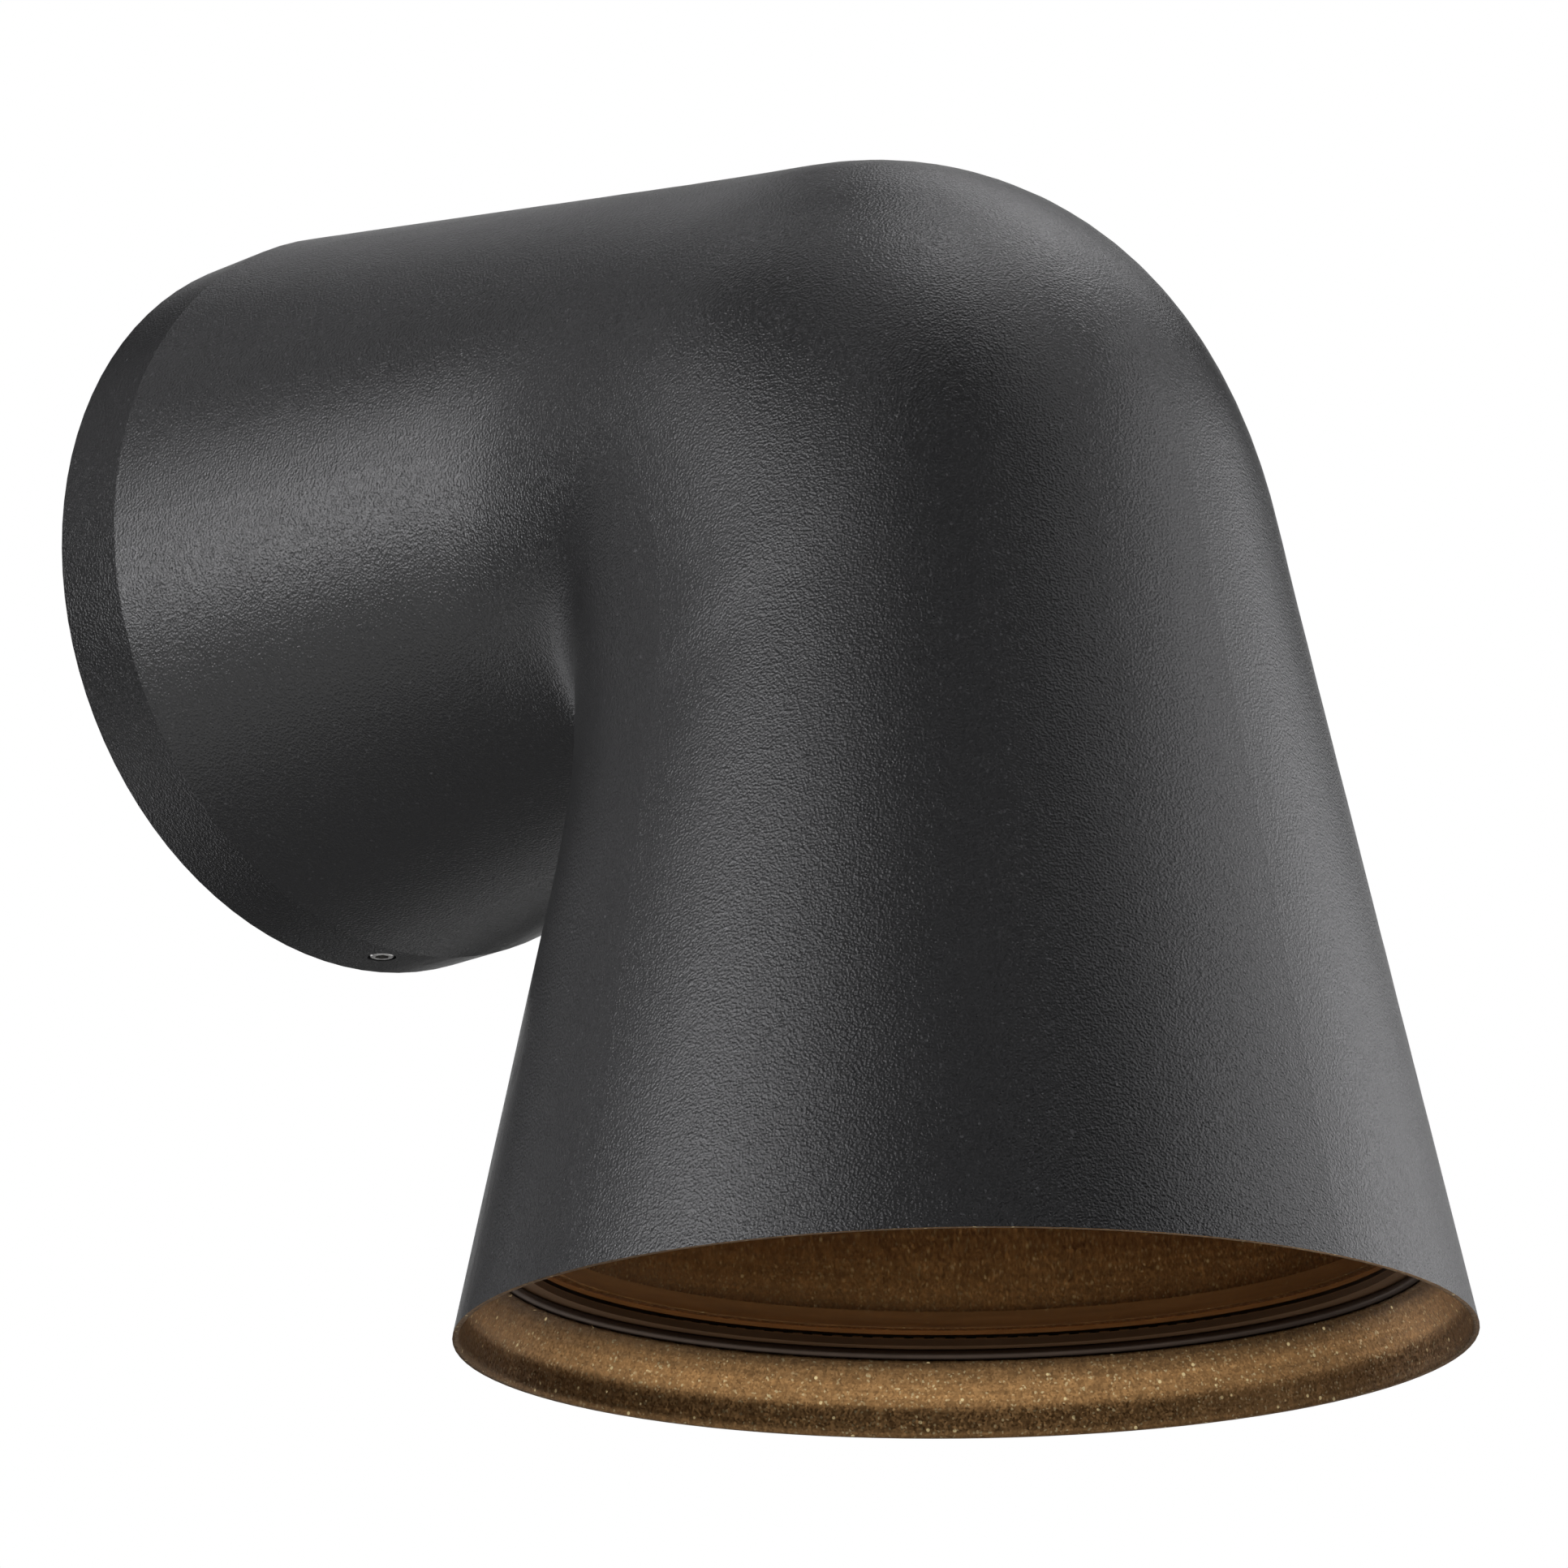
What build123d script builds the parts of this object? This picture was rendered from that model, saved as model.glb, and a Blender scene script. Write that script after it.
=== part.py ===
"""Outdoor wall lamp: a cast elbow-shaped body on a wall plate, with glass, lamp holder, bulb and wiring.

Wall plane is y = 0, the lamp points to -Y, +Z is up, and x = 0 is the plane of symmetry. Millimetres.
"""
import os
from math import atan2, cos, pi, radians, sin, sqrt, tan

from build123d import *

# Body outline
MOUTH_R = 90.0
BASE_R = 72.5
BAND = 16.5
ARM = 169.0
DROP = 173.0
TUBE_TAPER = 9.35
SHADE_TAPER = 12.0
ELBOW_R = 87.0
CROTCH_R = 6.0
ELBOW_BULGE = 2.1
WALL = 3.0
BACK_GAP = 0.5
BODY_STEPS = 36

# Clearances
RUN_GAP = 0.3
THREAD_GAP = 0.3

# Mouth, from the rim upwards
RIM_T = 1.0
RIM_H = 5.8
FLARE_IN = 6.0
FLARE_H = 13.0
SEAT_STEP = 0.8
RING_WIRE = 1.8
RING_H = 14.6
RING_SLACK = 0.35
RING_OPEN = 8.0
SEAL_LIP_LOW = 1.4
SEAL_LIP_TOP = 0.8
SEAL_DEEP = 3.6
GLASS_EDGE = 1.2
GLASS_T = 4.0
LEDGE_DEEP = 6.2
LEDGE_T = 3.0

# Wall plate
GASKET_T = 1.0
GASKET_W = 9.0
GASKET_EDGE = 1.2
PLATE_T = 2.0
SPIGOT_IN = 5.3
SPIGOT_T = 2.0
SPIGOT_END = 15.0
BOLT_SPACING = 76.0
BOLT_D = 5.5
GROMMET_D = 16.0
GROMMET_LIP = 3.0
GROMMET_LIP_T = 2.0
CABLE_D = 8.0
CLAMP_Z = -24.0
CLAMP_SPAN = 24.0
CLAMP_POST_R = 4.0
CLAMP_POST_H = 6.0
CLAMP_BAR = (34.0, 3.0, 9.0)
CLAMP_SCREW_R = 1.75
CLAMP_HEAD_R = 3.2
CLAMP_HEAD_H = 2.2
CLAMP_DEPTH = 5.0

# Pads on the body that run on the spigot
PAD_FROM = 4.0
PAD_W = 18.0
PAD_ANGLES = (-90.0, 30.0, 150.0)

# Set screw
SET_R = 2.5
SET_Y = 10.8
SET_SINK = 0.1
SET_KEY = 2.5
SET_KEY_DEEP = 2.2
SET_BEVEL = 0.35

# Lamp holder and its strip
STRIP_Z = -4.0
STRIP_T = 2.0
STRIP_W = 22.0
STRIP_L = 92.0
STRIP_END = 6.0
BOSS_R = 5.5
BOSS_TOP = 60.0
M4_R = 2.0
M4_HEAD_R = 3.6
M4_HEAD_H = 2.4
M4_DEPTH = 8.0
NIPPLE_R = 5.0
NIPPLE_BORE = 3.5
NIPPLE_TOP = 2.0
NIPPLE_LOW = -13.0
NUT_AF = 14.0
NUT_H = 3.0
CAP_R = 20.0
CAP_WALL = 2.5
CAP_ROUND = 5.0
CAP_LOW = -30.0
CORE_T = 4.0
SHELL_LOW = -58.0
SHELL_LIP_R = 15.8
SHELL_LIP_T = 2.0
SLEEVE_R = 13.7
SLEEVE_T = 0.5
SLEEVE_LOW = -55.0
SLEEVE_FLANGE_R = 16.6
SLEEVE_FLANGE_T = 1.0
CONTACT_R = 4.5
CONTACT_T = 1.0

# Bulb
BULB_THREAD = 0.7
BULB_PITCH = 3.6
BULB_TURNS = 4
BULB_CAP_L = 23.0
BULB_NECK_R = 12.0
BULB_INS_R = 9.0
BULB_INS_T = 3.0
BULB_TIP_R = 4.0
BULB_TIP_T = 1.4
COLLAR_R = 13.4
COLLAR_L = 28.0
GLOBE_R = 27.5
GLOBE_LOW = -127.0
GLOBE_T = 1.2

# Connector block and its pad
PAD_Z = -44.0
PAD_BOX = (38.0, 28.0, 30.0)
BLOCK = (34.0, 20.0, 16.0)
BLOCK_Y = -62.0
POLE_PITCH = 11.0
POLE_R = 2.6
POLE_Z = 8.0
LEAD_R = 1.2
LEAD_IN_BLOCK = 6.0
TERM_SCREW_R = 1.5
TERM_SCREW_Y = 5.0
TERM_SINK = 0.6
M3_R = 1.5
M3_HEAD_R = 2.7
M3_HEAD_H = 2.4
M3_SINK = 0.4
M3_X = 5.5
M3_DEPTH = 8.0

# Earth point
EARTH_Y = -92.0
EARTH_Z = -48.0
EARTH_BOX = (16.0, 13.0, 26.0)
LUG_R = 4.2
LUG_T = 0.8
LUG_BARREL_R = 2.0
LUG_BARREL_L = 6.0
LUG_BARREL_Y = 8.5

# Lead routes
LEAD_BEND = 8.0
LEAD_TIGHT = 2.4
LEAD_OUT_Y = -86.0
LEAD_RISE_Y = -142.0
LEAD_TOP_Z = 14.0
LEAD_NIPPLE_X = 1.7
LEAD_SPREAD_X = 8.0
LEAD_SPREAD_Z = (-14.5, -20.5)
LEAD_END_DEEP = 2.5
EARTH_BEND = 3.0
EARTH_OUT_Y = -76.0
EARTH_IN_Y = -81.0

# Derived outline
TUBE_SLOPE = tan(radians(TUBE_TAPER))
SHADE_SLOPE = tan(radians(SHADE_TAPER))
MOUTH_Z = -DROP
FLARE_R = MOUTH_R - FLARE_IN
SEAT_R = FLARE_R - SEAT_STEP
SEAL_IN_R = SEAT_R - SEAL_DEEP
GLASS_R = SEAT_R - GLASS_EDGE
LEDGE_R = SEAT_R - LEDGE_DEEP
SPIGOT_R = BASE_R - SPIGOT_IN
GASKET_OUT_R = SPIGOT_R - GASKET_EDGE
GASKET_IN_R = GASKET_OUT_R - GASKET_W
STRIP_X = STRIP_L / 2 - STRIP_END
STRIP_LOW = STRIP_Z - STRIP_T
CORE_TOP = CAP_LOW + CORE_T
BLOCK_TOP = PAD_Z + BLOCK[2]
POLE_AXIS_Z = PAD_Z + POLE_Z
PLATE_BACK = -GASKET_T
PLATE_FRONT = PLATE_BACK - PLATE_T
POST_FRONT = PLATE_FRONT - CLAMP_POST_H
BAR_FRONT = POST_FRONT - CLAMP_BAR[1]
PAD_IN_R = SPIGOT_R + RUN_GAP
SEAL_LOW_H = RING_H + RING_WIRE / 2
GLASS_LOW_H = SEAL_LOW_H + SEAL_LIP_LOW
LEDGE_H = GLASS_LOW_H + GLASS_T + SEAL_LIP_TOP
CONTACT_LOW = CAP_LOW - CONTACT_T
TIP_TOP = CONTACT_LOW - RUN_GAP
INS_TOP = TIP_TOP - BULB_TIP_T
BULB_CAP_TOP = INS_TOP - BULB_INS_T
BULB_CAP_LOW = BULB_CAP_TOP - BULB_CAP_L
COLLAR_LOW = BULB_CAP_LOW - COLLAR_L
GLOBE_Z = GLOBE_LOW + GLOBE_R
EARTH_WIRE_Z = EARTH_Z + LUG_BARREL_R


def tube_radius(y):
    return BASE_R - TUBE_SLOPE * (-y - BAND)


def shade_radius(z):
    return MOUTH_R - SHADE_SLOPE * (z - MOUTH_Z)


def find_pivot():
    """Line in the crotch from which the elbow's angles are measured."""
    y = -ARM / 2
    z = -BASE_R
    for _ in range(60):
        y = -ARM + shade_radius(z) + CROTCH_R
        z = -tube_radius(y) - CROTCH_R
    return y, z


PIVOT_Y, PIVOT_Z = find_pivot()


def half_width(angle):
    """Half width of an elbow section: a cubic that leaves the arm and meets the shade at their own tapers."""
    span = pi / 2
    t = angle / span
    start = tube_radius(PIVOT_Y)
    end = shade_radius(PIVOT_Z)
    start_slope = TUBE_SLOPE * PIVOT_Z * span
    end_slope = SHADE_SLOPE * (ARM + PIVOT_Y) * span
    ends = start + (end - start) * t * t * (3 - 2 * t)
    slopes = start_slope * t * (1 - t) ** 2 - end_slope * t * t * (1 - t)
    return ends + slopes + ELBOW_BULGE * sin(2 * angle) ** 2


def oval(plane, half_x, half_long):
    """Closed outline of four quarter arcs, so that all sections match corner by corner."""
    quarters = []
    for start in (0, 90, 180, 270):
        quarters.append(EllipticalCenterArc((0, 0), half_long, half_x, start_angle=start, arc_size=90))
    return plane * make_face(quarters)


def meeting_point(side, inset):
    """Where the arm's line and the shade's line cross, on the outer (+1) or the inner (-1) side."""
    arm_z = side * (tube_radius(0) - inset)
    shade_y = -ARM - side * (shade_radius(0) - inset)
    y = (shade_y + side * SHADE_SLOPE * arm_z) / (1 - SHADE_SLOPE * TUBE_SLOPE)
    return Vector(0, y, arm_z + side * TUBE_SLOPE * y)


def side_track(side, inset, low_z):
    """Line, tangent arc, line in the plane of symmetry, as a function of the share of its length."""
    start = Vector(0, -BAND, side * (BASE_R - inset))
    corner = meeting_point(side, inset)
    end = Vector(0, -ARM - side * (shade_radius(low_z) - inset), low_z)
    radius = ELBOW_R - inset if side > 0 else CROTCH_R + inset
    came = (corner - start).normalized()
    goes = (end - corner).normalized()
    turn = radians(came.get_angle(goes))
    run = radius * tan(turn / 2)
    first = (corner - start).length - run
    arc = radius * turn
    total = first + arc + (end - corner).length - run
    across = (goes - came * came.dot(goes)).normalized()
    centre = corner - came * run + across * radius

    def at(share):
        s = share * total
        if s <= first:
            return start + came * s
        if s <= first + arc:
            angle = (s - first) / radius
            return centre - across * (radius * cos(angle)) + came * (radius * sin(angle))
        return corner + goes * (run + s - first - arc)

    return at


def section_width(inner, outer, inset):
    """Half width of the section between an inner and an outer point."""
    middle = (inner + outer) / 2
    angle = atan2(PIVOT_Y - middle.Y, middle.Z - PIVOT_Z)
    if angle <= 0:
        return sqrt((tube_radius(inner.Y) - inset) * (tube_radius(outer.Y) - inset))
    if angle >= pi / 2:
        return sqrt((shade_radius(inner.Z) - inset) * (shade_radius(outer.Z) - inset))
    return half_width(angle) - inset


def body_sections(inset, low_z):
    """Sections that tilt step by step from the base to the mouth."""
    inner_at = side_track(-1, inset, low_z)
    outer_at = side_track(1, inset, low_z)
    sections = []
    for step in range(BODY_STEPS + 1):
        inner = inner_at(step / BODY_STEPS)
        outer = outer_at(step / BODY_STEPS)
        along = (outer - inner).normalized()
        plane = Plane((inner + outer) / 2, x_dir=along, z_dir=(0, -along.Z, along.Y))
        sections.append(oval(plane, section_width(inner, outer, inset), (outer - inner).length / 2))
    return sections


def turned_y(points):
    """Solid of revolution about the arm axis from (radius, y) points, with its seam on top."""
    outline = Polyline(*[(0, y, r) for r, y in points], close=True)
    return revolve(make_face(outline), Axis.Y)


def turned_z(points):
    """Solid of revolution about the shade axis from (radius, z) points, with its seam in front."""
    outline = Polyline(*[(0, -ARM - r, z) for r, z in points], close=True)
    return revolve(make_face(outline), Axis((0, -ARM, 0), (0, 0, 1)))


def rod_z(x, y, z_from, z_to, radius):
    return Pos(x, y, (z_from + z_to) / 2) * Cylinder(radius, abs(z_to - z_from))


def rod_y(x, z, y_from, y_to, radius):
    return Pos(x, (y_from + y_to) / 2, z) * Rot(90, 0, 0) * Cylinder(radius, abs(y_to - y_from))


def block(x_mid, y_mid, z_mid, size):
    return Pos(x_mid, y_mid, z_mid) * Box(*size)


def body_form(inset, low_z):
    """Base band, arm, elbow and shade as one solid, all radii smaller by the inset."""
    band = rod_y(0, 0, -BACK_GAP + inset, -BAND, BASE_R - inset)
    return band + loft(body_sections(inset, low_z))


def height(h):
    return MOUTH_Z + h


def ring_z(r_in, r_out, h_low, h_top):
    return turned_z([(r_in, height(h_low)), (r_out, height(h_low)), (r_out, height(h_top)), (r_in, height(h_top))])


def mouth_metal():
    """Thicker metal round the glass seat, with the shoulder the seal lies against."""
    top = LEDGE_H + LEDGE_T
    return turned_z([
        (shade_radius(height(FLARE_H)) - RIM_T / 2, height(0)),
        (shade_radius(height(0)) - RIM_T / 2, height(0)),
        (shade_radius(height(top)) - RIM_T / 2, height(top)),
        (LEDGE_R, height(top)),
        (LEDGE_R, height(FLARE_H)),
    ])


def mouth_cut():
    """Thin rim, flare, seat bore and the spring ring's groove."""
    low = -RIM_T
    seat = turned_z([
        (0, height(low)),
        (shade_radius(height(low)) - RIM_T, height(low)),
        (shade_radius(height(RIM_H)) - RIM_T, height(RIM_H)),
        (FLARE_R, height(FLARE_H)),
        (SEAT_R, height(FLARE_H)),
        (SEAT_R, height(LEDGE_H)),
        (0, height(LEDGE_H)),
    ])
    groove = turned_round(SEAT_R, RING_H, RING_WIRE / 2 + RING_SLACK)
    return seat + groove


def turned_round(radius, h, wire_r):
    plane = Plane((radius, -ARM, height(h)), x_dir=(1, 0, 0), z_dir=(0, -1, 0))
    return revolve(plane * Circle(wire_r), Axis((0, -ARM, 0), (0, 0, 1)))


def spigot_pads():
    ring = turned_y([
        (PAD_IN_R, -PAD_FROM),
        (BASE_R - WALL / 2, -PAD_FROM),
        (BASE_R - WALL / 2, -BAND),
        (PAD_IN_R, -BAND),
    ])
    pads = []
    for angle in PAD_ANGLES:
        slab = Rot(0, -angle, 0) * block(BASE_R, -BAND / 2, 0, (BASE_R, BAND, PAD_W))
        pads.append(ring & slab)
    return pads


def make_lamp_body():
    outer = body_form(0, MOUTH_Z)
    inner = body_form(WALL, MOUTH_Z - WALL)
    inside = []
    for side in (-1, 1):
        inside.append(rod_z(side * STRIP_X, -ARM, STRIP_Z, BOSS_TOP, BOSS_R))
    inside.append(block(0, BLOCK_Y, PAD_Z - PAD_BOX[2] / 2, PAD_BOX))
    inside.append(block(0, EARTH_Y, EARTH_Z - EARTH_BOX[2] / 2, EARTH_BOX))
    body = outer - inner
    for piece in inside:
        body += piece & outer
    body += mouth_metal()
    body -= mouth_cut()
    for pad in spigot_pads():
        body += pad
    body -= rod_z(0, -SET_Y, -BASE_R - WALL, -PAD_IN_R + WALL, SET_R + THREAD_GAP)
    for side in (-1, 1):
        body -= rod_z(side * STRIP_X, -ARM, STRIP_Z, STRIP_Z + M4_DEPTH, M4_R)
        body -= rod_z(side * M3_X, BLOCK_Y, PAD_Z - M3_DEPTH, PAD_Z, M3_R)
    body -= rod_z(0, EARTH_Y, EARTH_Z - M4_DEPTH, EARTH_Z, M4_R)
    return body


def make_lens_glass():
    return ring_solid(GLASS_R, GLASS_LOW_H, GLASS_LOW_H + GLASS_T)


def ring_solid(radius, h_low, h_top):
    return rod_z(0, -ARM, height(h_low), height(h_top), radius)


def make_lens_seal():
    seal = ring_z(SEAL_IN_R, SEAT_R, SEAL_LOW_H, LEDGE_H)
    return seal - make_lens_glass()


def make_lens_ring():
    """Round wire ring with a gap at the front."""
    ring = turned_round(SEAT_R, RING_H, RING_WIRE / 2)
    gap = block(0, -ARM - SEAT_R, height(RING_H), (RING_OPEN, BAND, RING_WIRE * 2))
    return ring - gap


def make_wall_plate():
    """Dish with a raised middle on the wall, a step for the gasket and a spigot rim."""
    plate = turned_y([
        (0, 0),
        (GASKET_IN_R, 0),
        (GASKET_IN_R, PLATE_BACK),
        (SPIGOT_R, PLATE_BACK),
        (SPIGOT_R, -SPIGOT_END),
        (SPIGOT_R - SPIGOT_T, -SPIGOT_END),
        (SPIGOT_R - SPIGOT_T, PLATE_FRONT),
        (0, PLATE_FRONT),
    ])
    for side in (-1, 1):
        plate += rod_y(side * CLAMP_SPAN / 2, CLAMP_Z, PLATE_FRONT, POST_FRONT, CLAMP_POST_R)
        plate -= rod_y(side * CLAMP_SPAN / 2, CLAMP_Z, POST_FRONT + CLAMP_DEPTH, POST_FRONT, CLAMP_SCREW_R)
        plate -= rod_y(side * BOLT_SPACING / 2, 0, 0, -SPIGOT_END, BOLT_D / 2)
    plate -= rod_y(0, 0, 0, PLATE_BACK, GROMMET_D / 2 + GROMMET_LIP)
    return plate - rod_y(0, 0, 0, -SPIGOT_END, GROMMET_D / 2)


def make_wall_gasket():
    return turned_y([
        (GASKET_IN_R, 0),
        (GASKET_OUT_R, 0),
        (GASKET_OUT_R, -GASKET_T),
        (GASKET_IN_R, -GASKET_T),
    ])


def make_cable_grommet():
    """Rubber bush with a groove that holds the plate's edge; its back lip is as thick as the gasket."""
    lip_r = GROMMET_D / 2 + GROMMET_LIP
    return turned_y([
        (CABLE_D / 2, 0),
        (lip_r, 0),
        (lip_r, PLATE_BACK),
        (GROMMET_D / 2, PLATE_BACK),
        (GROMMET_D / 2, PLATE_FRONT),
        (lip_r, PLATE_FRONT),
        (lip_r - GROMMET_LIP / 2, PLATE_FRONT - GROMMET_LIP_T),
        (CABLE_D / 2, PLATE_FRONT - GROMMET_LIP_T),
    ])


def make_cable_clamp():
    bar = block(0, POST_FRONT - CLAMP_BAR[1] / 2, CLAMP_Z, CLAMP_BAR)
    for side in (-1, 1):
        bar -= rod_y(side * CLAMP_SPAN / 2, CLAMP_Z, POST_FRONT, BAR_FRONT, CLAMP_SCREW_R)
    return bar


def slotted(head, centre, size):
    """Cut a driver slot into a screw head."""
    return head - Pos(*centre) * Box(*size)


def make_clamp_screws():
    screws = []
    slot = (CLAMP_HEAD_R * 2, CLAMP_HEAD_H, CLAMP_HEAD_H / 3)
    for side in (-1, 1):
        x = side * CLAMP_SPAN / 2
        screw = rod_y(x, CLAMP_Z, BAR_FRONT, BAR_FRONT - CLAMP_HEAD_H, CLAMP_HEAD_R)
        screw += rod_y(x, CLAMP_Z, POST_FRONT + CLAMP_DEPTH, BAR_FRONT, CLAMP_SCREW_R)
        screws.append(slotted(screw, (x, BAR_FRONT - CLAMP_HEAD_H, CLAMP_Z), slot))
    return Compound(children=screws)


def make_set_screw():
    top = -PAD_IN_R
    low = -BASE_R + SET_SINK
    screw = rod_z(0, -SET_Y, low, top, SET_R)
    screw = chamfer(screw.edges().filter_by(GeomType.CIRCLE), SET_BEVEL)
    key = extrude(RegularPolygon(SET_KEY / 2, 6, major_radius=False), SET_KEY_DEEP)
    return screw - Pos(0, -SET_Y, low) * key


def make_holder_bracket():
    strip = block(0, -ARM, STRIP_Z - STRIP_T / 2, (STRIP_L, STRIP_W, STRIP_T))
    strip = fillet(strip.edges().filter_by(Axis.Z), BOSS_R)
    strip -= rod_z(0, -ARM, STRIP_LOW, STRIP_Z, NIPPLE_R)
    for side in (-1, 1):
        strip -= rod_z(side * STRIP_X, -ARM, STRIP_LOW, STRIP_Z, M4_R)
    return strip


def make_bracket_screws():
    screws = []
    slot = (M4_HEAD_R * 2, M4_HEAD_H / 3, M4_HEAD_H)
    for side in (-1, 1):
        x = side * STRIP_X
        screw = rod_z(x, -ARM, STRIP_LOW - M4_HEAD_H, STRIP_LOW, M4_HEAD_R)
        screw += rod_z(x, -ARM, STRIP_LOW, STRIP_Z + M4_DEPTH, M4_R)
        screws.append(slotted(screw, (x, -ARM, STRIP_LOW - M4_HEAD_H), slot))
    return Compound(children=screws)


def make_holder_nipple():
    return rod_z(0, -ARM, NIPPLE_LOW, NIPPLE_TOP, NIPPLE_R) - rod_z(0, -ARM, NIPPLE_LOW, NIPPLE_TOP, NIPPLE_BORE)


def make_nipple_nut():
    nut = extrude(RegularPolygon(NUT_AF / 2, 6, major_radius=False), NUT_H)
    return Pos(0, -ARM, STRIP_Z) * nut - rod_z(0, -ARM, STRIP_Z, STRIP_Z + NUT_H, NIPPLE_R)


def make_holder_cap():
    return turned_z([
        (NIPPLE_R, STRIP_LOW),
        (CAP_R - CAP_ROUND, STRIP_LOW),
        (CAP_R, STRIP_LOW - CAP_ROUND),
        (CAP_R, CAP_LOW),
        (CAP_R - CAP_WALL, CAP_LOW),
        (CAP_R - CAP_WALL, STRIP_LOW - CAP_ROUND),
        (CAP_R - CAP_ROUND, STRIP_LOW - CAP_WALL),
        (NIPPLE_R, STRIP_LOW - CAP_WALL),
    ])


def make_holder_core():
    core = rod_z(0, -ARM, CAP_LOW, CORE_TOP, CAP_R - CAP_WALL)
    for side in (-1, 1):
        core -= rod_z(side * LEAD_SPREAD_X, -ARM, CORE_TOP - LEAD_END_DEEP, CORE_TOP, LEAD_R)
    return core


def make_holder_shell():
    return turned_z([
        (CAP_R - CAP_WALL, CAP_LOW),
        (CAP_R, CAP_LOW),
        (CAP_R, SHELL_LOW),
        (SHELL_LIP_R, SHELL_LOW),
        (SHELL_LIP_R, SHELL_LOW + SHELL_LIP_T),
        (CAP_R - CAP_WALL, SHELL_LOW + SHELL_LIP_T),
    ])


def make_holder_sleeve():
    return turned_z([
        (SLEEVE_R, CAP_LOW),
        (SLEEVE_FLANGE_R, CAP_LOW),
        (SLEEVE_FLANGE_R, CAP_LOW - SLEEVE_FLANGE_T),
        (SLEEVE_R + SLEEVE_T, CAP_LOW - SLEEVE_FLANGE_T),
        (SLEEVE_R + SLEEVE_T, SLEEVE_LOW),
        (SLEEVE_R, SLEEVE_LOW),
    ])


def make_holder_contact():
    return rod_z(0, -ARM, CONTACT_LOW, CAP_LOW, CONTACT_R)


def make_bulb_cap():
    cap = turned_z([
        (0, BULB_CAP_TOP),
        (BULB_INS_R, BULB_CAP_TOP),
        (BULB_NECK_R, BULB_CAP_TOP - BULB_THREAD * 2),
        (BULB_NECK_R, BULB_CAP_LOW),
        (0, BULB_CAP_LOW),
    ])
    for turn in range(BULB_TURNS):
        z = BULB_CAP_TOP - BULB_PITCH * (turn + 1)
        cap += turned_round(BULB_NECK_R, z - MOUTH_Z, BULB_THREAD)
    return cap


def make_bulb_insulator():
    return turned_z([
        (0, INS_TOP),
        (BULB_TIP_R + BULB_TIP_T, INS_TOP),
        (BULB_INS_R, BULB_CAP_TOP),
        (0, BULB_CAP_TOP),
    ])


def make_bulb_contact():
    return rod_z(0, -ARM, INS_TOP, TIP_TOP, BULB_TIP_R)


def globe_radius_at(z):
    return sqrt(GLOBE_R ** 2 - (z - GLOBE_Z) ** 2)


def make_bulb_collar():
    return turned_z([
        (0, BULB_CAP_LOW),
        (COLLAR_R, BULB_CAP_LOW),
        (globe_radius_at(COLLAR_LOW), COLLAR_LOW),
        (0, COLLAR_LOW),
    ])


def make_bulb_globe():
    globe = Pos(0, -ARM, GLOBE_Z) * (Sphere(GLOBE_R) - Sphere(GLOBE_R - GLOBE_T))
    lid = GLOBE_R * 2
    return globe - block(0, -ARM, COLLAR_LOW + lid / 2, (lid, lid, lid))


def pole_places():
    return [-POLE_PITCH, 0, POLE_PITCH]


def block_end(side):
    return BLOCK_Y + side * BLOCK[1] / 2


def make_terminal_block():
    body = block(0, BLOCK_Y, PAD_Z + BLOCK[2] / 2, BLOCK)
    for x in pole_places():
        body -= rod_y(x, POLE_AXIS_Z, block_end(-1), block_end(1), POLE_R)
        for side in (-1, 1):
            body -= rod_z(x, BLOCK_Y + side * TERM_SCREW_Y, POLE_AXIS_Z, BLOCK_TOP, TERM_SCREW_R)
    for side in (-1, 1):
        body -= rod_z(side * M3_X, BLOCK_Y, PAD_Z, BLOCK_TOP, M3_R)
        body -= rod_z(side * M3_X, BLOCK_Y, BLOCK_TOP - M3_SINK - M3_HEAD_H, BLOCK_TOP, M3_HEAD_R)
    return body


def make_terminal_sleeves():
    sleeves = []
    for x in pole_places():
        sleeve = rod_y(x, POLE_AXIS_Z, block_end(-1), block_end(1), POLE_R)
        sleeve -= rod_y(x, POLE_AXIS_Z, block_end(-1), block_end(1), LEAD_R)
        for side in (-1, 1):
            y = BLOCK_Y + side * TERM_SCREW_Y
            sleeve -= rod_z(x, y, POLE_AXIS_Z + LEAD_R, BLOCK_TOP, TERM_SCREW_R)
        sleeves.append(sleeve)
    return Compound(children=sleeves)


def make_terminal_screws():
    screws = []
    slot = (TERM_SCREW_R * 2, TERM_SCREW_R / 3, TERM_SCREW_R)
    for x in pole_places():
        for side in (-1, 1):
            y = BLOCK_Y + side * TERM_SCREW_Y
            top = BLOCK_TOP - TERM_SINK
            screw = rod_z(x, y, POLE_AXIS_Z + LEAD_R, top, TERM_SCREW_R)
            screws.append(slotted(screw, (x, y, top), slot))
    return Compound(children=screws)


def make_block_screws():
    screws = []
    slot = (M3_HEAD_R * 2, M3_HEAD_H / 3, M3_HEAD_H)
    top = BLOCK_TOP - M3_SINK
    for side in (-1, 1):
        x = side * M3_X
        screw = rod_z(x, BLOCK_Y, top - M3_HEAD_H, top, M3_HEAD_R)
        screw += rod_z(x, BLOCK_Y, PAD_Z - M3_DEPTH, top, M3_R)
        screws.append(slotted(screw, (x, BLOCK_Y, top), slot))
    return Compound(children=screws)


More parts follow.
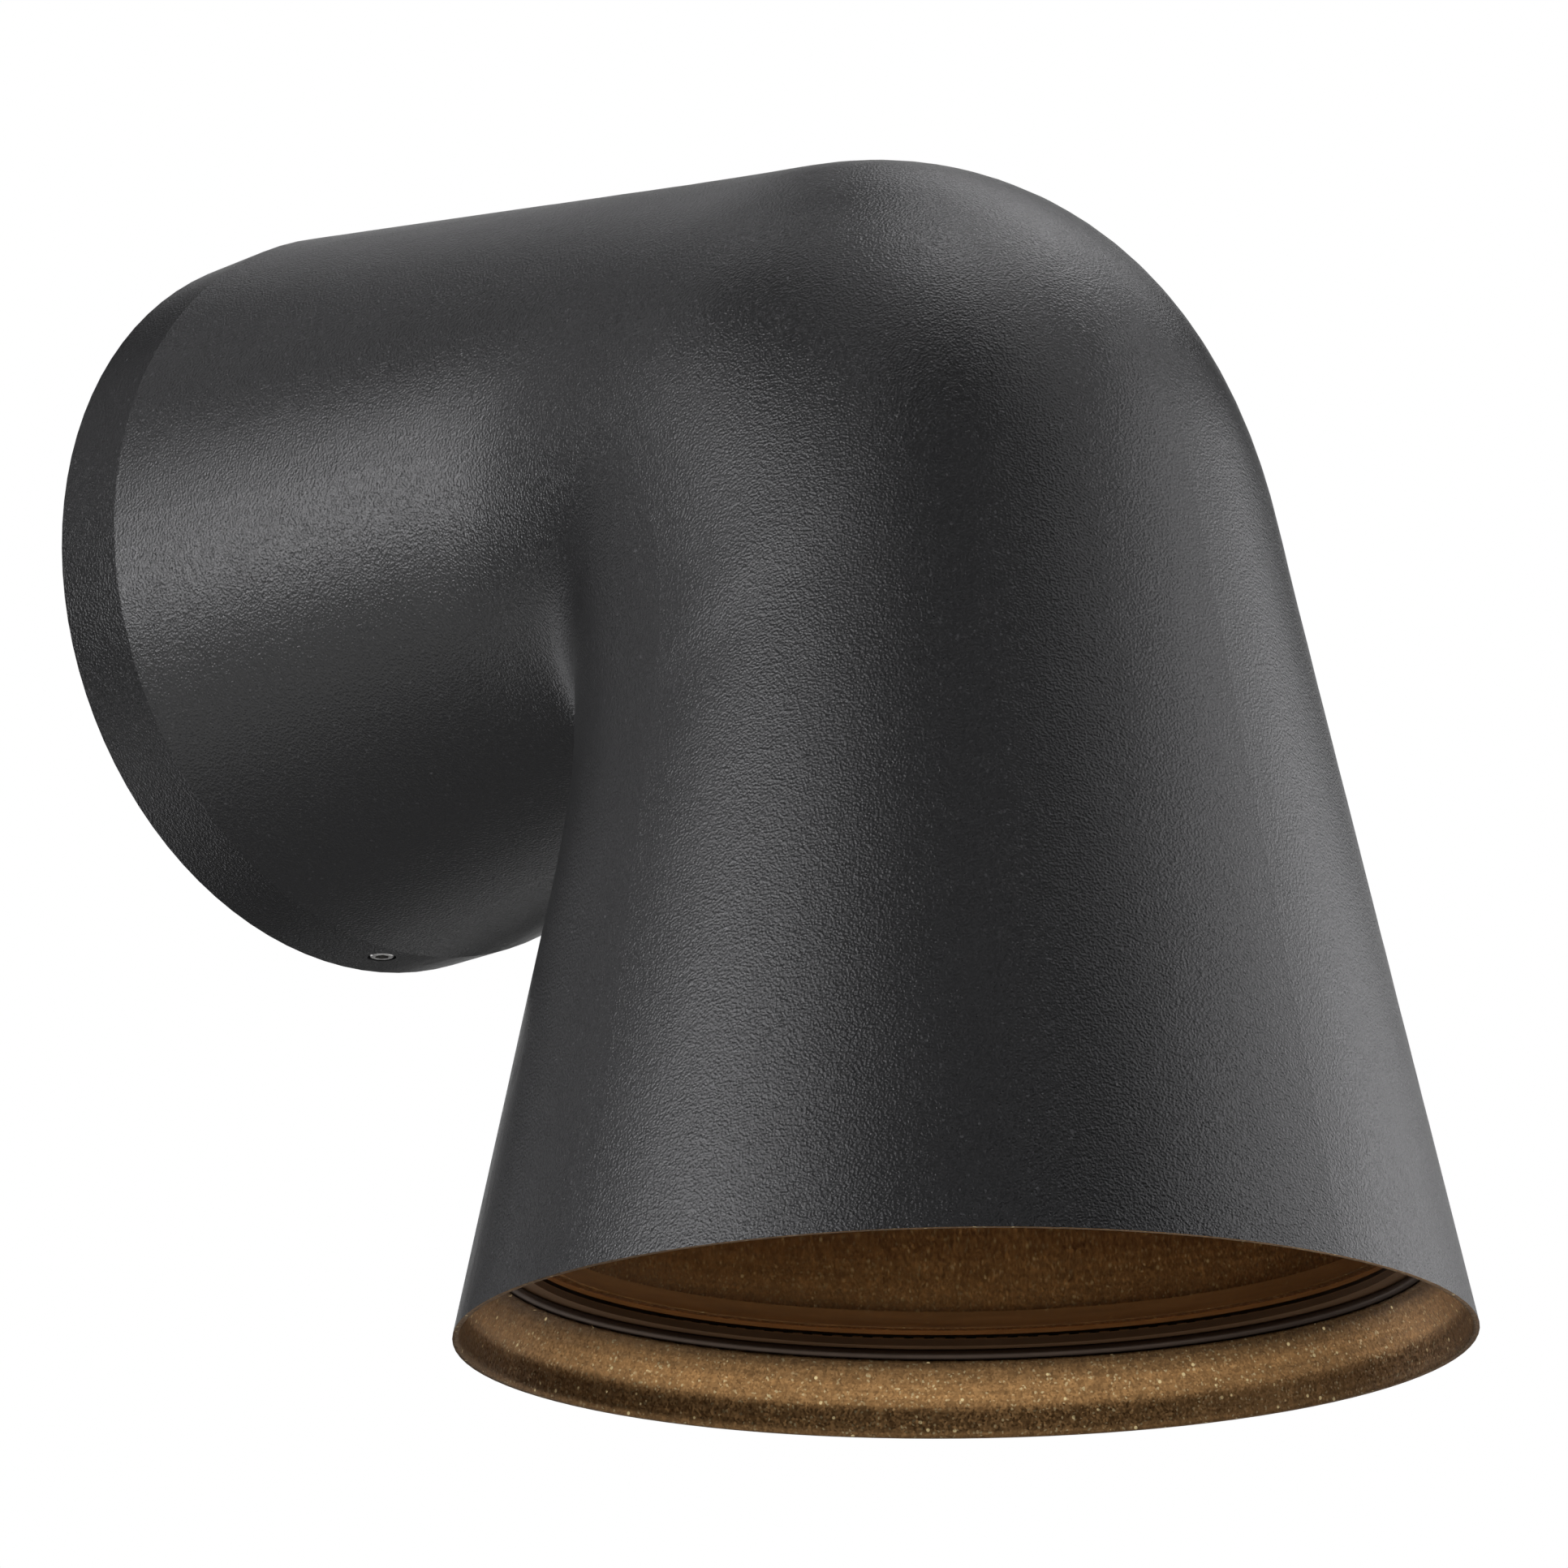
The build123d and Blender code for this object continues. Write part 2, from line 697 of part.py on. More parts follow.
def make_earth_lug():
    """Ring tongue under the earth screw, with a crimp barrel towards the connector."""
    lug = rod_z(0, EARTH_Y, EARTH_Z, EARTH_Z + LUG_T, LUG_R)
    neck = LUG_BARREL_Y + LUG_BARREL_L / 2
    lug += block(0, EARTH_Y + neck / 2, EARTH_Z + LUG_T / 2, (LUG_BARREL_R * 2, neck, LUG_T))
    barrel_y = EARTH_Y + LUG_BARREL_Y
    lug += rod_y(0, EARTH_WIRE_Z, barrel_y - LUG_BARREL_L / 2, barrel_y + LUG_BARREL_L / 2, LUG_BARREL_R)
    lug -= rod_y(0, EARTH_WIRE_Z, barrel_y - LUG_BARREL_L, barrel_y + LUG_BARREL_L, LEAD_R)
    return lug - rod_z(0, EARTH_Y, EARTH_Z, EARTH_Z + LUG_T, M4_R)


def make_earth_screw():
    top = EARTH_Z + LUG_T
    slot = (M4_HEAD_R * 2, M4_HEAD_H / 3, M4_HEAD_H)
    screw = rod_z(0, EARTH_Y, top, top + M4_HEAD_H, M4_HEAD_R)
    screw += rod_z(0, EARTH_Y, EARTH_Z - M4_DEPTH, top, M4_R)
    return slotted(screw, (0, EARTH_Y, top + M4_HEAD_H), slot)


def rounded_path(points, bends):
    """Straight runs joined by tangent arcs, one bend radius for each inner corner."""
    corners = [Vector(*p) for p in points]
    edges = []
    start = corners[0]
    for before, corner, after, bend in zip(corners, corners[1:], corners[2:], bends):
        came = (corner - before).normalized()
        goes = (after - corner).normalized()
        half = radians(came.get_angle(goes)) / 2
        back = bend * tan(half)
        enter = corner - came * back
        leave = corner + goes * back
        to_centre = (goes - came).normalized()
        middle = corner + to_centre * (bend / cos(half) - bend)
        edges.append(Line(start, enter))
        edges.append(ThreePointArc(enter, middle, leave))
        start = leave
    edges.append(Line(start, corners[-1]))
    return edges


def lead(points, bends):
    path = Wire(rounded_path(points, bends))
    first = Vector(*points[0])
    plane = Plane(first, z_dir=Vector(*points[1]) - first)
    return sweep(plane * Circle(LEAD_R), path=path)


def make_lamp_lead(side):
    """Lead from an outer pole over the strip and down through the nipple to the holder."""
    near = side * POLE_PITCH
    mid = side * LEAD_NIPPLE_X
    far = side * LEAD_SPREAD_X
    points = [
        (near, block_end(-1) + LEAD_IN_BLOCK, POLE_AXIS_Z),
        (near, LEAD_OUT_Y, POLE_AXIS_Z),
        (mid, LEAD_RISE_Y, LEAD_TOP_Z),
        (mid, -ARM, LEAD_TOP_Z),
        (mid, -ARM, LEAD_SPREAD_Z[0]),
        (far, -ARM, LEAD_SPREAD_Z[1]),
        (far, -ARM, CORE_TOP - LEAD_END_DEEP),
    ]
    return lead(points, [LEAD_BEND, LEAD_BEND, LEAD_BEND, LEAD_TIGHT, LEAD_TIGHT])


def make_earth_lead():
    points = [
        (0, block_end(-1) + LEAD_IN_BLOCK, POLE_AXIS_Z),
        (0, EARTH_OUT_Y + EARTH_BEND / 2, POLE_AXIS_Z),
        (0, EARTH_IN_Y + EARTH_BEND, EARTH_WIRE_Z),
        (0, EARTH_Y + LUG_BARREL_Y - LUG_BARREL_L / 2, EARTH_WIRE_Z),
    ]
    return lead(points, [EARTH_BEND, EARTH_BEND])


def main():
    os.makedirs("parts", exist_ok=True)
    pieces = {
        "wall_plate": make_wall_plate(),
        "wall_gasket": make_wall_gasket(),
        "cable_grommet": make_cable_grommet(),
        "cable_clamp": make_cable_clamp(),
        "clamp_screws": make_clamp_screws(),
        "lamp_body": make_lamp_body(),
        "lens_glass": make_lens_glass(),
        "lens_seal": make_lens_seal(),
        "lens_ring": make_lens_ring(),
        "holder_bracket": make_holder_bracket(),
        "bracket_screws": make_bracket_screws(),
        "holder_nipple": make_holder_nipple(),
        "nipple_nut": make_nipple_nut(),
        "holder_cap": make_holder_cap(),
        "holder_core": make_holder_core(),
        "holder_shell": make_holder_shell(),
        "holder_sleeve": make_holder_sleeve(),
        "holder_contact": make_holder_contact(),
        "terminal_block": make_terminal_block(),
        "terminal_sleeves": make_terminal_sleeves(),
        "terminal_screws": make_terminal_screws(),
        "block_screws": make_block_screws(),
        "live_lead": make_lamp_lead(-1),
        "neutral_lead": make_lamp_lead(1),
        "earth_lead": make_earth_lead(),
        "earth_lug": make_earth_lug(),
        "earth_screw": make_earth_screw(),
        "bulb_cap": make_bulb_cap(),
        "bulb_insulator": make_bulb_insulator(),
        "bulb_contact": make_bulb_contact(),
        "bulb_collar": make_bulb_collar(),
        "bulb_globe": make_bulb_globe(),
        "set_screw": make_set_screw(),
    }
    for name, shape in pieces.items():
        export_step(shape, f"parts/{name}.step")


main()
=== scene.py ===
import math

import bpy
from mathutils import Matrix, Vector

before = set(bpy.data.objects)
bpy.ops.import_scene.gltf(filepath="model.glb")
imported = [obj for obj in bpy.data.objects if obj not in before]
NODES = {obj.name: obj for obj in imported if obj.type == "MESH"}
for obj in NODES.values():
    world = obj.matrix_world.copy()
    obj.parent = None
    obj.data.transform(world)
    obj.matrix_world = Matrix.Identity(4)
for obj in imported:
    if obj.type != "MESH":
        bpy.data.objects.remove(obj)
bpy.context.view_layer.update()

# Camera fitted to the photograph: place in metres, angles in degrees, lens for a 36 mm sensor.
CAM_AT = Vector((-0.90318, -1.06815, -0.44020))
CAM_AZ = -43.732
CAM_UP = 16.153
CAM_ROLL = -0.453
CAM_LENS = 169.78
CAM_SENSOR = 36.0
CAM_FAR = 50.0

# Middle line of the casting: reach of the arm and radius of its bend.
ARM = 0.169
BEND = 0.030

# Where the casting's zones begin and end, in metres.
BAND = 0.0165
CROTCH_Y = (-0.135, -0.080)
CROTCH_LOW = -0.090
RIM_Z = -0.1725
# Heights where the bronze is painted darker as shade: at the rim's edge and in the groove.
RIM_PAINTED_SHADE = (-0.173, -0.165)
GROOVE_PAINTED_SHADE = (-0.165, -0.155)
LEDGE_OUT = 0.0845
LEDGE_TOP = -0.145
LIP_OUT = LEDGE_OUT - 0.006
LIP_TOP = LEDGE_TOP - 0.002
# Heights of the seal; between them its colour is painted paler upward, as painted light.
SEAL_LOW = -0.1575
SEAL_TOP = -0.1513
LIP_LOW = SEAL_TOP - 0.0005

# Limits on face normals when the casting is painted.
LOOKS_IN = -0.05
LOOKS_LEVEL = 0.9
LOOKS_OUT_OF_CROTCH = 0.1

# Slots of the casting's materials.
OUTSIDE, INSIDE, LIP, BAND_SLOT = range(4)

# Half the thickness of a lead, for the stripe on the earth lead.
LEAD_R = 0.0012

# Studio: floor, white backdrop seen by gloss and glass (angles in degrees), unlit part of the floor.
FLOOR_SIZE = 7.0
FLOOR_AT = (-0.4, -0.4, -1.6)
FLOOR_SEEN = 0.9
DARK_SPOT = (0.7, 2.0, 0.0)
DARK_SPOT_IN = 1.3
DARK_SPOT_OUT = 2.2
BACKDROP_WAY = (0.664, 0.694, 0.278)
BACKDROP_IN = 4.0
BACKDROP_OUT = 20.0
BACKDROP_RISE = 0.10
WORLD_GREY = (0.012, 0.012, 0.012, 1.0)
WHITE = (1.0, 1.0, 1.0, 1.0)

# Soft boxes stand round this point at this distance.
AIM = Vector((0.0, -0.14, -0.05))
LIGHT_AWAY = 1.6
LIGHT_COLOUR = (0.985, 0.98, 1.0)
BOX_SIZE = 0.45
CARD_SIZE = 0.8

# Soft boxes fitted to the light in the photograph: name, azimuth, elevation, watts.
SOFT_BOXES = (
    ("left_low", 240, 0, 5.26),
    ("left_mid", 251, 12, 3.35),
    ("left_high", 240, 25, 2.14),
    ("left_key", 260, 25, 2.92),
    ("left_front", 280, 25, 2.55),
    ("left_top", 280, 65, 0.94),
    ("camera_left", 320, 25, 0.91),
    ("front_high", 0, 45, 1.23),
    ("front_top", 0, 65, 0.92),
    ("front_right", 20, 25, 2.17),
    ("right_front", 40, 25, 1.65),
    ("right_tall", 51.4, 45, 1.52),
    ("right_low", 66, 12, 2.52),
    ("right_mid", 60, 25, 1.31),
    ("right_side", 80, 25, 1.31),
    ("right_edge", 98, 12, 0.84),
    ("right_high", 102.9, 45, 0.75),
    ("right_back", 125, 55, 0.93),
    ("right_top", 80, 65, 2.43),
    ("top_mid", 0, 86, 2.99),
    ("wall_low", 200, 25, 0.46),
    ("wall_base", 185, 12, 0.42),
    ("wall_mid", 205.7, 45, 0.62),
    ("wall_high", 200, 65, 1.04),
    ("wall_right", 154.3, 45, 0.39),
)

# Larger cards, low behind the lamp, that light the bronze in the mouth.
CARDS = (
    ("far_left_card", 184, -14, 2.4),
    ("far_right_card", 92, -14, 1.2),
)


def new_material(name):
    mat = bpy.data.materials.new(name)
    mat.use_nodes = True
    tree = mat.node_tree
    return mat, tree, tree.nodes["Principled BSDF"]


def add(tree, kind, **values):
    node = tree.nodes.new(kind)
    for key, value in values.items():
        setattr(node, key, value)
    return node


def object_coords(tree):
    return add(tree, "ShaderNodeTexCoord").outputs["Object"]


def noise(tree, coords, scale, detail=2.0, rough=0.5):
    node = add(tree, "ShaderNodeTexNoise")
    node.inputs["Scale"].default_value = scale
    node.inputs["Detail"].default_value = detail
    node.inputs["Roughness"].default_value = rough
    tree.links.new(coords, node.inputs["Vector"])
    return node


def cells(tree, coords, scale):
    node = add(tree, "ShaderNodeTexVoronoi")
    node.inputs["Scale"].default_value = scale
    tree.links.new(coords, node.inputs["Vector"])
    return node


def stretched(tree, coords, scale, turn=0.0):
    """Coordinates scaled along each axis, after a turn about Z in degrees."""
    node = add(tree, "ShaderNodeMapping")
    node.inputs["Rotation"].default_value = (0.0, 0.0, math.radians(turn))
    node.inputs["Scale"].default_value = scale
    tree.links.new(coords, node.inputs["Vector"])
    return node.outputs["Vector"]


def multiplied(tree, first, second):
    node = add(tree, "ShaderNodeMix", data_type="RGBA", blend_type="MULTIPLY")
    node.inputs["Factor"].default_value = 1.0
    tree.links.new(first, node.inputs["A"])
    tree.links.new(second, node.inputs["B"])
    return node.outputs["Result"]


def overlaid(tree, mask, below, colour):
    """A colour laid over another where the mask is white."""
    node = add(tree, "ShaderNodeMix", data_type="RGBA")
    tree.links.new(mask, node.inputs["Factor"])
    tree.links.new(below, node.inputs["A"])
    node.inputs["B"].default_value = (*colour, 1.0)
    return node.outputs["Result"]


def ramp(tree, value, stops):
    node = add(tree, "ShaderNodeValToRGB")
    parts = node.color_ramp.elements
    while len(parts) < len(stops):
        parts.new(0.5)
    for part, (place, colour) in zip(parts, stops):
        part.position = place
        part.color = (*colour, 1.0)
    tree.links.new(value, node.inputs["Fac"])
    return node.outputs["Color"]


def grey(value):
    return (value, value, value)


def grey_ramp(tree, value, stops):
    return ramp(tree, value, [(place, grey(level)) for place, level in stops])


def scaled(tree, value, low, high, start=0.0, end=1.0):
    """The range from start to end, clamped and mapped to the range from low to high."""
    node = add(tree, "ShaderNodeMapRange")
    node.inputs["From Min"].default_value = start
    node.inputs["From Max"].default_value = end
    node.inputs["To Min"].default_value = low
    node.inputs["To Max"].default_value = high
    tree.links.new(value, node.inputs["Value"])
    return node.outputs["Result"]


def part_of(tree, vector, axis):
    node = add(tree, "ShaderNodeSeparateXYZ")
    tree.links.new(vector, node.inputs["Vector"])
    return node.outputs[axis]


def level_of(tree, coords, low, high):
    """0 at the low height and 1 at the high one."""
    return scaled(tree, part_of(tree, coords, "Z"), 0.0, 1.0, low, high)


def bump(tree, height, distance, strength, before=None):
    node = add(tree, "ShaderNodeBump")
    node.inputs["Distance"].default_value = distance
    node.inputs["Strength"].default_value = strength
    tree.links.new(height, node.inputs["Height"])
    if before is not None:
        tree.links.new(before, node.inputs["Normal"])
    return node.outputs["Normal"]


def joined(tree, kind, first, second):
    node = add(tree, "ShaderNodeMath", operation=kind, use_clamp=True)
    tree.links.new(first, node.inputs[0])
    tree.links.new(second, node.inputs[1])
    return node.outputs[0]


def mixed(tree, factor, first, second):
    """Shader that goes from the first to the second as the factor's output goes from 0 to 1."""
    node = add(tree, "ShaderNodeMixShader")
    tree.links.new(factor, node.inputs[0])
    tree.links.new(first.outputs[0], node.inputs[1])
    tree.links.new(second.outputs[0], node.inputs[2])
    return node


def chance(tree, cell_node):
    """One even random value per cell."""
    parts = add(tree, "ShaderNodeSeparateColor")
    tree.links.new(cell_node.outputs["Color"], parts.inputs["Color"])
    return parts.outputs["Red"]


def tilted(tree, colour, amount, normal):
    """Surface normal leaned another way in every cell."""
    centred = add(tree, "ShaderNodeVectorMath", operation="SUBTRACT")
    centred.inputs[1].default_value = grey(0.5)
    tree.links.new(colour, centred.inputs[0])
    lean = add(tree, "ShaderNodeVectorMath", operation="SCALE")
    lean.inputs["Scale"].default_value = amount
    tree.links.new(centred.outputs[0], lean.inputs[0])
    total = add(tree, "ShaderNodeVectorMath", operation="ADD")
    tree.links.new(normal, total.inputs[0])
    tree.links.new(lean.outputs[0], total.inputs[1])
    unit = add(tree, "ShaderNodeVectorMath", operation="NORMALIZE")
    tree.links.new(total.outputs[0], unit.inputs[0])
    return unit.outputs[0]


def finish_surface(tree, bsdf, colour, rough, normal):
    tree.links.new(colour, bsdf.inputs["Base Color"])
    tree.links.new(rough, bsdf.inputs["Roughness"])
    tree.links.new(normal, bsdf.inputs["Normal"])


def powder_coat(name, gloss):
    """Matte charcoal powder coat: pebbled grain, slow tone drift and scattered bright flakes."""
    mat, tree, bsdf = new_material(name)
    coords = object_coords(tree)
    pebble = cells(tree, coords, 1900.0)
    fine = noise(tree, coords, 2500.0, 1.5, 0.55)
    drift = noise(tree, coords, 24.0, 3.0)
    speck = cells(tree, coords, 2300.0)
    tones = [(0.3, (0.0085, 0.0085, 0.0091)), (0.7, (0.0115, 0.0115, 0.0122))]
    base = ramp(tree, drift.outputs["Fac"], tones)
    mask = grey_ramp(tree, speck.outputs["Color"], [(0.88, 0.0), (0.97, 1.0)])
    colour = overlaid(tree, mask, base, (0.075, 0.075, 0.078))
    normal = bump(tree, pebble.outputs["Distance"], 0.00012, 0.6)
    normal = bump(tree, fine.outputs["Fac"], 0.00015, 0.6, normal)
    finish_surface(tree, bsdf, colour, scaled(tree, fine.outputs["Fac"], 0.24, 0.36), normal)
    bsdf.inputs["Specular IOR Level"].default_value = gloss
    return mat


def bronze_paint():
    """Bronze metallic paint inside the casting: tilted flakes, painted glints, level streaks and brush marks.

    It is painted darker in the groove under the spring ring and at the rim's edge, as painted shade.
    """
    mat, tree, bsdf = new_material("bronze_paint")
    coords = object_coords(tree)
    flake = cells(tree, coords, 2500.0)
    glint_cells = cells(tree, coords, 800.0)
    streak = noise(tree, stretched(tree, coords, (11.0, 11.0, 800.0)), 1.0, 5.0, 0.7)
    stroke = noise(tree, stretched(tree, coords, (650.0, 650.0, 14.0)), 1.0, 3.0, 0.6)
    cloud = noise(tree, coords, 40.0, 3.0)
    tones = [
        (0.0, (0.40, 0.210, 0.076)),
        (0.5, (0.58, 0.312, 0.115)),
        (0.93, (0.74, 0.415, 0.163)),
        (0.98, (1.0, 0.76, 0.40)),
    ]
    marks_and_painted_shade = (
        (streak.outputs["Fac"], [(0.30, 0.62), (0.70, 1.0)]),
        (stroke.outputs["Fac"], [(0.36, 0.80), (0.62, 1.0)]),
        # Painted shade: darker in the groove under the spring ring and at the rim's edge.
        (level_of(tree, coords, *GROOVE_PAINTED_SHADE), [(0.12, 1.0), (0.45, 0.35), (0.60, 0.35), (0.80, 1.0)]),
        (level_of(tree, coords, *RIM_PAINTED_SHADE), [(0.50, 0.55), (0.85, 1.0)]),
    )
    colour = ramp(tree, chance(tree, flake), tones)
    for value, stops in marks_and_painted_shade:
        colour = multiplied(tree, grey_ramp(tree, value, stops), colour)
    # Painted glints: a few flake dots painted pale gold, standing in for flakes that catch the light.
    painted_glint_spots = grey_ramp(tree, glint_cells.outputs["Distance"], [(0.24, 1.0), (0.32, 0.0)])
    rare_glints = grey_ramp(tree, chance(tree, glint_cells), [(0.94, 0.0), (0.945, 1.0)])
    colour = overlaid(tree, multiplied(tree, painted_glint_spots, rare_glints), colour, (1.0, 0.80, 0.42))
    soft = add(tree, "ShaderNodeBevel", samples=6)
    soft.inputs["Radius"].default_value = 0.0022
    normal = tilted(tree, flake.outputs["Color"], 0.20, soft.outputs["Normal"])
    finish_surface(tree, bsdf, colour, scaled(tree, cloud.outputs["Fac"], 0.36, 0.48), normal)
    bsdf.inputs["Metallic"].default_value = 0.8
    return mat


def painted_light_bronze_lip():
    """Bronze with little metal and no flake on the lip over the glass: a copy of the bronze paint that takes
    diffuse light and reads paler, as painted light where the lip lies in shade.
    """
    mat, tree, bsdf = new_material("painted_light_bronze_lip")
    coords = object_coords(tree)
    streak = noise(tree, stretched(tree, coords, (60.0, 60.0, 800.0)), 1.0, 4.0, 0.6).outputs["Fac"]
    colour = ramp(tree, streak, [(0.3, (0.44, 0.225, 0.085)), (0.7, (0.60, 0.310, 0.120))])
    finish_surface(tree, bsdf, colour, scaled(tree, streak, 0.40, 0.55), bump(tree, streak, 0.00004, 0.4))
    bsdf.inputs["Metallic"].default_value = 0.1
    return mat


def clear_glass():
    """Clear sheet glass with wipe marks and a faint reflection, tinted brown so the inside seen through it reads
    darker, as painted shade; light comes through it as a tinted shadow.
    """
    mat, tree, bsdf = new_material("clear_sheet_glass")
    wipe = stretched(tree, object_coords(tree), (220.0, 14.0, 30.0), -46.0)
    rough = scaled(tree, noise(tree, wipe, 1.0, 4.0, 0.6).outputs["Fac"], 0.0, 0.05)
    tree.links.new(rough, bsdf.inputs["Roughness"])
    # Painted shade: the brown tint here and in the refraction below darkens what is seen through the glass.
    bsdf.inputs["Base Color"].default_value = (0.64, 0.58, 0.50, 1.0)
    bsdf.inputs["Transmission Weight"].default_value = 1.0
    bsdf.inputs["IOR"].default_value = 1.5
    bend = add(tree, "ShaderNodeBsdfRefraction")
    bend.inputs["Color"].default_value = (0.80, 0.76, 0.71, 1.0)
    bend.inputs["IOR"].default_value = 1.5
    tree.links.new(rough, bend.inputs["Roughness"])
    faint = add(tree, "ShaderNodeMixShader")
    faint.inputs[0].default_value = 0.85
    tree.links.new(bsdf.outputs[0], faint.inputs[1])
    tree.links.new(bend.outputs[0], faint.inputs[2])
    clear = add(tree, "ShaderNodeBsdfTransparent")
    clear.inputs["Color"].default_value = (0.46, 0.41, 0.35, 1.0)
    path = add(tree, "ShaderNodeLightPath")
    surface = mixed(tree, path.outputs["Is Shadow Ray"], faint, clear)
    tree.links.new(surface.outputs[0], tree.nodes["Material Output"].inputs["Surface"])
    return mat


def metal(name, colour, rough, streak_scale, metallic=1.0):
    """Bare or plated metal with a fine one-way brush and slight blotches."""
    mat, tree, bsdf = new_material(name)
    coords = object_coords(tree)
    brush = noise(tree, stretched(tree, coords, streak_scale), 1.0, 4.0, 0.6).outputs["Fac"]
    blotch = noise(tree, coords, 180.0, 3.0)
    dark = tuple(c * 0.82 for c in colour)
    tone = ramp(tree, blotch.outputs["Fac"], [(0.3, dark), (0.7, colour)])
    gloss = scaled(tree, brush, rough * 0.75, rough * 1.3)
    finish_surface(tree, bsdf, tone, gloss, bump(tree, brush, 0.00004, 0.4))
    bsdf.inputs["Metallic"].default_value = metallic
    return mat


def polymer(name, colour, rough, grain_scale):
    """Moulded plastic, rubber or glaze with a fine surface grain and slight tone drift."""
    mat, tree, bsdf = new_material(name)
    coords = object_coords(tree)
    grain = noise(tree, coords, grain_scale, 3.0, 0.6).outputs["Fac"]
    drift = noise(tree, coords, 70.0, 2.0)
    dark = tuple(c * 0.86 for c in colour)
    tone = ramp(tree, drift.outputs["Fac"], [(0.3, dark), (0.7, colour)])
    gloss = scaled(tree, grain, rough * 0.85, rough * 1.15)
    finish_surface(tree, bsdf, tone, gloss, bump(tree, grain, 0.00006, 0.4))
    return mat


def seal_rubber():
    """Brown silicone, painted paler above where the glass covers it, as painted light, and darker on the lower
    lip by the ring.
    """
    mat, tree, bsdf = new_material("brown_silicone")
    coords = object_coords(tree)
    grain = noise(tree, coords, 1500.0, 3.0, 0.6).outputs["Fac"]
    # Painted light: paler brown above this height range, where the glass covers the seal.
    height = level_of(tree, coords, SEAL_LOW, SEAL_TOP)
    tone = ramp(tree, height, [(0.18, (0.22, 0.120, 0.058)), (0.32, (0.75, 0.400, 0.160))])
    drift = noise(tree, coords, 70.0, 2.0)
    tone = multiplied(tree, grey_ramp(tree, drift.outputs["Fac"], [(0.3, 0.86), (0.7, 1.0)]), tone)
    finish_surface(tree, bsdf, tone, scaled(tree, grain, 0.36, 0.48), bump(tree, grain, 0.00006, 0.4))
    return mat


def earth_sheath():
    """Green insulation with a yellow stripe along the lead."""
    mat, tree, bsdf = new_material("earth_sheath")
    coords = object_coords(tree)
    grain = noise(tree, coords, 900.0, 2.0).outputs["Fac"]
    side = scaled(tree, part_of(tree, coords, "X"), 0.0, 1.0, -LEAD_R, LEAD_R)
    green = (0.10, 0.33, 0.07)
    tone = ramp(tree, side, [(0.34, green), (0.36, (0.75, 0.62, 0.05)), (0.66, green)])
    tone.node.color_ramp.interpolation = "CONSTANT"
    finish_surface(tree, bsdf, tone, scaled(tree, grain, 0.35, 0.5), bump(tree, grain, 0.00006, 0.4))
    return mat


def axis_point(p):
    """Nearest point on the middle line of arm, bend and shade."""
    if p.z > -BEND and p.y > -(ARM - BEND):
        return Vector((0, p.y, 0))
    if p.y > -(ARM - BEND):
        below = p.z + BEND
        beside = p.y + (ARM - BEND)
        if -below < beside:
            return Vector((0, p.y, 0))
        return Vector((0, -ARM, p.z))
    if p.z < -BEND:
        return Vector((0, -ARM, p.z))
    centre = Vector((0, -(ARM - BEND), -BEND))
    away = Vector((0, p.y, p.z)) - centre
    return centre + away.normalized() * BEND


def in_crotch(p):
    """Corner under the arm, where the nearest middle line changes from arm to shade."""
    return CROTCH_Y[0] < p.y < CROTCH_Y[1] and CROTCH_LOW < p.z < -BEND


def body_slot(face):
    """Slot for a face of the casting, from the way it looks and the zone it is in."""
    at = face.center
    out = at - axis_point(at)
    inward = face.normal.dot(out.normalized()) < LOOKS_IN
    if in_crotch(at) and face.normal.y - face.normal.z > LOOKS_OUT_OF_CROTCH:
        inward = False
    rim = face.normal.z < -LOOKS_LEVEL and at.z < RIM_Z
    ledge = abs(face.normal.z) > LOOKS_LEVEL and out.length < LEDGE_OUT and at.z < LEDGE_TOP
    if inward and out.length < LIP_OUT and LIP_LOW < at.z < LIP_TOP:
        return LIP
    if inward or rim or ledge:
        return INSIDE
    # The band by the wall takes a less glossy copy of the coat, as painted shade.
    return BAND_SLOT if at.y > -BAND else OUTSIDE


def paint_body(obj, mats):
    """One material per slot: outside, inside, lip over the glass, band by the wall."""
    mesh = obj.data
    mesh.materials.clear()
    for mat in mats:
        mesh.materials.append(mat)
    for face in mesh.polygons:
        face.material_index = body_slot(face)


def dress(names, mat):
    for name in names:
        mesh = NODES[name].data
        mesh.materials.clear()
        mesh.materials.append(mat)


def add_camera():
    az = math.radians(CAM_AZ)
    up = math.radians(CAM_UP)
    roll = math.radians(CAM_ROLL)
    ahead = Vector((-math.sin(az) * math.cos(up), math.cos(az) * math.cos(up), math.sin(up)))
    right = ahead.cross(Vector((0, 0, 1))).normalized()
    above = right.cross(ahead)
    x_axis = right * math.cos(roll) + above * math.sin(roll)
    y_axis = above * math.cos(roll) - right * math.sin(roll)
    data = bpy.data.cameras.new("photo_camera")
    data.lens = CAM_LENS
    data.sensor_width = CAM_SENSOR
    data.sensor_fit = "HORIZONTAL"
    data.clip_end = CAM_FAR
    cam = bpy.data.objects.new("photo_camera", data)
    bpy.context.collection.objects.link(cam)
    turn = Matrix((x_axis, y_axis, -ahead)).transposed()
    cam.matrix_world = Matrix.Translation(CAM_AT) @ turn.to_4x4()
    bpy.context.scene.camera = cam


